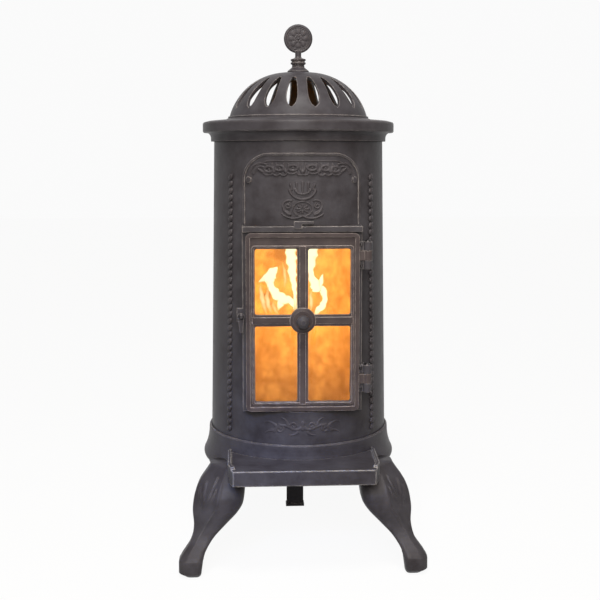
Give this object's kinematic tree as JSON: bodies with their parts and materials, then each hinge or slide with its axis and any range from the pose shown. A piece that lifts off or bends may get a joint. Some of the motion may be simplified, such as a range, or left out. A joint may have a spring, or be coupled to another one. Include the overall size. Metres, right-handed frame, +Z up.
{
  "type": "bioethanol fireplace",
  "caption": "Round cast-iron column fireplace for ethanol on cabriole legs, with a hinged window door, hearth shelf, slotted dome lid and a burner inside.",
  "frame": {"origin": "middle of the fireplace's footprint box, on the floor", "axes": "+Z up, -Y to the front (door side), +X to the right of somebody facing the door"},
  "size_m": [0.397, 0.3795, 0.887],
  "materials": {
    "painted_iron": "cast iron with graphite-black stove paint, satin",
    "zinc_steel": "zinc-plated steel",
    "dark_steel": "blackened steel",
    "stainless_sheet": "stainless sheet, heat-tinted",
    "ceramic_fibre": "matt fibre board",
    "fire_glass": "clear heat-resistant glass",
    "rope_seal": "woven glass-fibre rope"
  },
  "bodies": {
    "stove": {"base_ring": "painted_iron", "hearth_shelf": "painted_iron", "left_front_leg": "painted_iron", "right_front_leg": "painted_iron", "rear_leg": "painted_iron", "leg_bolts": "zinc_steel", "shelf_bolts": "zinc_steel", "column_shell": "painted_iron", "front_plate": "painted_iron", "plate_bolts": "zinc_steel", "top_plate": "painted_iron", "tie_rods": "zinc_steel", "tie_nuts": "zinc_steel", "liner": "stainless_sheet", "burner_shelf": "stainless_sheet", "burner_tank": "stainless_sheet", "burner_fibre": "ceramic_fibre", "hinge_brackets": "painted_iron", "hinge_screws": "dark_steel", "hinge_pins": "dark_steel", "latch_screw": "dark_steel"},
    "door": {"door_frame": "painted_iron", "door_glass": "fire_glass", "glass_clips": "zinc_steel", "clip_screws": "zinc_steel", "door_seal": "rope_seal", "door_knob": "painted_iron"},
    "latch": {"latch_lever": "painted_iron"},
    "dome_lid": {"dome": "painted_iron", "finial": "painted_iron", "finial_nut": "zinc_steel"},
    "burner_cover": {"burner_lid": "stainless_sheet"}
  },
  "joints": [
    {"name": "door_hinge", "type": "hinge", "parent": "stove", "child": "door", "pos_m": [0.104, -0.12125, 0.4085], "axis": [0, 0, 1], "range_deg": [0, 110]},
    {"name": "latch_turn", "type": "hinge", "parent": "stove", "child": "latch", "pos_m": [-0.098, -0.12925, 0.4125], "axis": [0, -1, 0], "range_deg": [0, 90]},
    {"name": "dome_lift", "type": "slide", "parent": "stove", "child": "dome_lid", "axis": [0, 0, 1], "range_m": [0, 0.15]},
    {"name": "burner_slide", "type": "slide", "parent": "stove", "child": "burner_cover", "axis": [-1, 0, 0], "range_m": [0, 0.0885]}
  ]
}
